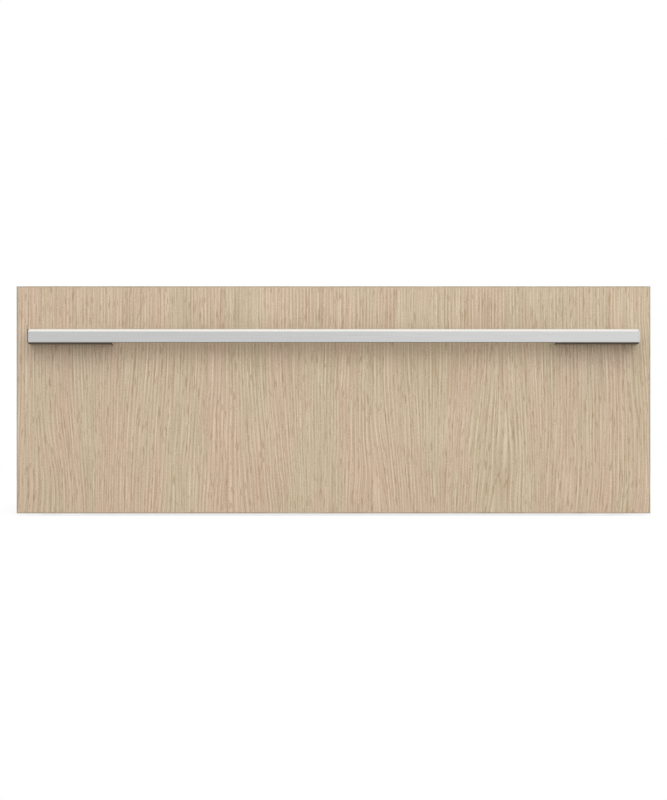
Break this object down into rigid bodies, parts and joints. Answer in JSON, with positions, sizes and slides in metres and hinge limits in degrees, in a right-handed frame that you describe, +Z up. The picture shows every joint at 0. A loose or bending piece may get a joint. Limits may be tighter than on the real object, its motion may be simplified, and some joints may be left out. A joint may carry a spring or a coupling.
{
  "type": "panel-ready warming drawer",
  "caption": "Built-in warming drawer with a pale timber front, a full-width bar handle and a fan-heated steel drawer on telescopic runners.",
  "frame": {"origin": "centre of the footprint at floor level, handle and cord gland included", "axes": "+X to the right seen from the front, +Y towards the back, so the drawer opens along -Y, +Z up"},
  "size_m": [0.759, 0.632, 0.275],
  "materials": {
    "oak_veneer": "pale straight-grained veneer under a clear matt lacquer",
    "handle_steel": "satin, brushed along the bar",
    "screw_steel": "bright zinc plate",
    "stainless_sheet": "satin stainless sheet",
    "galvanised_sheet": "plain galvanised sheet",
    "runner_zinc": "bright zinc plate",
    "cage_yellow_zinc": "yellow zinc plate",
    "mineral_wool": "matt stiff mineral board",
    "seal_silicone": "matt moulded silicone",
    "mat_silicone": "matt ribbed silicone",
    "heater_sheath": "dark oxidised sheath",
    "fan_aluminium": "plain pressed sheet",
    "motor_laminations": "oiled laminated steel",
    "coil_winding": "enamelled copper wire",
    "black_phenolic": "matt moulded",
    "control_black": "satin moulded",
    "display_black": "polished tinted lens",
    "button_grey": "fine matt texture",
    "board_green": "solder-masked board",
    "gland_nylon": "matt moulded",
    "wire_sleeve": "matt braided sleeve",
    "foot_nylon": "matt moulded"
  },
  "bodies": {
    "chassis": {"runner_outer_left": "runner_zinc", "runner_outer_right": "runner_zinc", "chassis_rivets": "screw_steel", "base_pan": "galvanised_sheet", "glide_feet": "foot_nylon", "side_wall_left": "galvanised_sheet", "side_wall_right": "galvanised_sheet", "top_cover": "galvanised_sheet", "rear_cover": "galvanised_sheet", "cover_screws": "screw_steel", "front_jamb_left": "stainless_sheet", "front_jamb_right": "stainless_sheet", "front_top_rail": "stainless_sheet", "front_sill": "stainless_sheet", "cavity_floor": "stainless_sheet", "cavity_ceiling": "stainless_sheet", "cavity_side_left": "stainless_sheet", "cavity_side_right": "stainless_sheet", "insulation_boards": "mineral_wool", "air_baffle": "stainless_sheet", "bulkhead": "galvanised_sheet", "heater_element": "heater_sheath", "motor_core": "motor_laminations", "motor_coil": "coil_winding", "thermal_cutout": "black_phenolic", "temperature_probe": "stainless_sheet", "control_fascia": "control_black", "display_lens": "display_black", "control_board": "board_green", "power_board": "board_green", "cable_gland": "gland_nylon", "wiring_loom": "wire_sleeve"},
    "drawer": {"front_panel": "oak_veneer", "handle_bar": "handle_steel", "handle_block_left": "handle_steel", "handle_block_right": "handle_steel", "handle_screws": "screw_steel", "front_carrier": "stainless_sheet", "front_insulation": "mineral_wool", "panel_screws": "screw_steel", "drawer_gasket": "seal_silicone", "drawer_base": "stainless_sheet", "drawer_side_left": "stainless_sheet", "drawer_side_right": "stainless_sheet", "drawer_back": "stainless_sheet", "drawer_mat": "mat_silicone", "runner_inner_left": "runner_zinc", "runner_inner_right": "runner_zinc", "drawer_rivets": "screw_steel"},
    "mid_member_left": {"runner_mid_left": "runner_zinc"},
    "outer_balls_left": {"ball_cage_outer_left": "cage_yellow_zinc"},
    "inner_balls_left": {"ball_cage_inner_left": "cage_yellow_zinc"},
    "mid_member_right": {"runner_mid_right": "runner_zinc"},
    "outer_balls_right": {"ball_cage_outer_right": "cage_yellow_zinc"},
    "inner_balls_right": {"ball_cage_inner_right": "cage_yellow_zinc"},
    "fan": {"fan_wheel": "fan_aluminium", "fan_shaft": "screw_steel"},
    "power_button": {"button_power": "button_grey"},
    "heat_button": {"button_heat": "button_grey"},
    "timer_button": {"button_timer": "button_grey"}
  },
  "joints": [
    {"name": "drawer_slide", "type": "slide", "parent": "chassis", "child": "drawer", "axis": [0, -1, 0], "range_m": [0, 0.43]},
    {"name": "mid_member_left_slide", "type": "slide", "parent": "chassis", "child": "mid_member_left", "axis": [0, -1, 0], "range_m": [0, 0.215]},
    {"name": "outer_balls_left_slide", "type": "slide", "parent": "chassis", "child": "outer_balls_left", "axis": [0, -1, 0], "range_m": [0, 0.1075]},
    {"name": "inner_balls_left_slide", "type": "slide", "parent": "chassis", "child": "inner_balls_left", "axis": [0, -1, 0], "range_m": [0, 0.3225]},
    {"name": "mid_member_right_slide", "type": "slide", "parent": "chassis", "child": "mid_member_right", "axis": [0, -1, 0], "range_m": [0, 0.215]},
    {"name": "outer_balls_right_slide", "type": "slide", "parent": "chassis", "child": "outer_balls_right", "axis": [0, -1, 0], "range_m": [0, 0.1075]},
    {"name": "inner_balls_right_slide", "type": "slide", "parent": "chassis", "child": "inner_balls_right", "axis": [0, -1, 0], "range_m": [0, 0.3225]},
    {"name": "fan_spin", "type": "hinge", "parent": "chassis", "child": "fan", "pos_m": [0, 0.2425, 0.117], "axis": [0, 1, 0], "continuous": true},
    {"name": "power_press", "type": "slide", "parent": "chassis", "child": "power_button", "axis": [0, 1, 0], "range_m": [0, 0.001], "stiffness_N_per_m": 1500, "springref_m": -0.0005},
    {"name": "heat_press", "type": "slide", "parent": "chassis", "child": "heat_button", "axis": [0, 1, 0], "range_m": [0, 0.001], "stiffness_N_per_m": 1500, "springref_m": -0.0005},
    {"name": "timer_press", "type": "slide", "parent": "chassis", "child": "timer_button", "axis": [0, 1, 0], "range_m": [0, 0.001], "stiffness_N_per_m": 1500, "springref_m": -0.0005}
  ],
  "couplings": [
    {"joint": "mid_member_left_slide", "follows": "drawer_slide", "ratio": 0.5},
    {"joint": "outer_balls_left_slide", "follows": "drawer_slide", "ratio": 0.25},
    {"joint": "inner_balls_left_slide", "follows": "drawer_slide", "ratio": 0.75},
    {"joint": "mid_member_right_slide", "follows": "drawer_slide", "ratio": 0.5},
    {"joint": "outer_balls_right_slide", "follows": "drawer_slide", "ratio": 0.25},
    {"joint": "inner_balls_right_slide", "follows": "drawer_slide", "ratio": 0.75}
  ]
}
